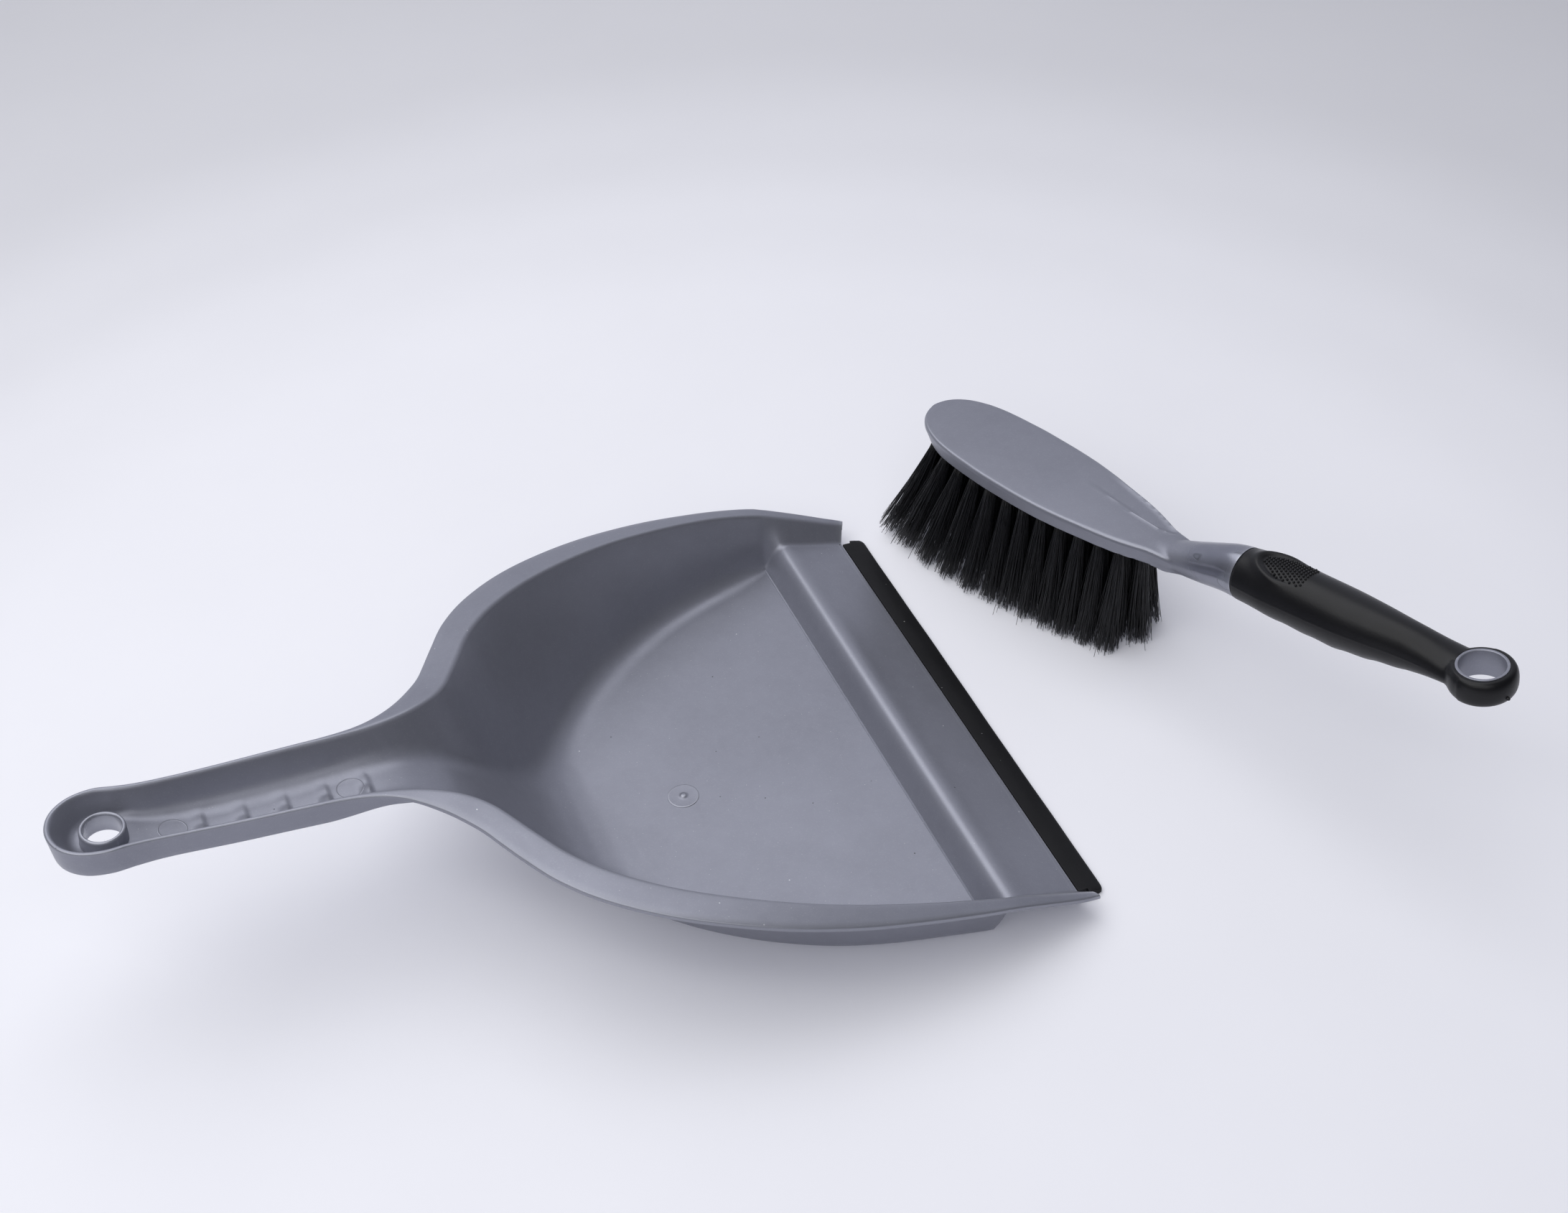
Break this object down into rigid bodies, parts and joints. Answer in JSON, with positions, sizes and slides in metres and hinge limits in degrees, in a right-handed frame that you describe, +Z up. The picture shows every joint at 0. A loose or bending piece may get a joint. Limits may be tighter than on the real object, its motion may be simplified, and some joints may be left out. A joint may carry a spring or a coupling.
{
  "type": "dustpan and brush",
  "caption": "Rounded grey dustpan with a ramped rubber lip and channel handle, and a matching soft-grip hand brush standing on its bristles beside it.",
  "frame": {"origin": "on the dustpan's flat base, on its centre line, 100 mm behind the lip edge", "axes": "+X forward out of the dustpan's lip, +Z up, +Y to the dustpan's left; the dustpan is symmetric about the XZ plane"},
  "size_m": [0.5091, 0.2878, 0.0909],
  "materials": {
    "pan_plastic": "satin grey moulded polypropylene",
    "lip_rubber": "satin black soft rubber",
    "brush_plastic": "satin grey moulded polypropylene",
    "grip_rubber": "soft-touch black overmould",
    "bristles": "black synthetic filament",
    "anchor_wire": "plain flat steel wire"
  },
  "bodies": {
    "dustpan": {"pan_body": "pan_plastic"},
    "lip": {"lip_strip": "lip_rubber"},
    "brush": {"brush_body": "brush_plastic", "grip_sleeve": "grip_rubber", "tufts_outer_left": "bristles", "tufts_inner_left": "bristles", "tufts_centre": "bristles", "tufts_inner_right": "bristles", "tufts_outer_right": "bristles", "anchors_outer_left": "anchor_wire", "anchors_inner_left": "anchor_wire", "anchors_centre": "anchor_wire", "anchors_inner_right": "anchor_wire", "anchors_outer_right": "anchor_wire"}
  },
  "joints": [
    {"name": "lip_flex", "type": "hinge", "parent": "dustpan", "child": "lip", "pos_m": [0.0876, 0, 0.0023], "axis": [0, -1, 0], "range_deg": [-6, 10], "stiffness_Nm_per_rad": 0.05},
    {"name": "brush_lift", "type": "slide", "parent": "dustpan", "child": "brush", "axis": [0, 0, 1], "range_m": [0, 0.2]}
  ]
}
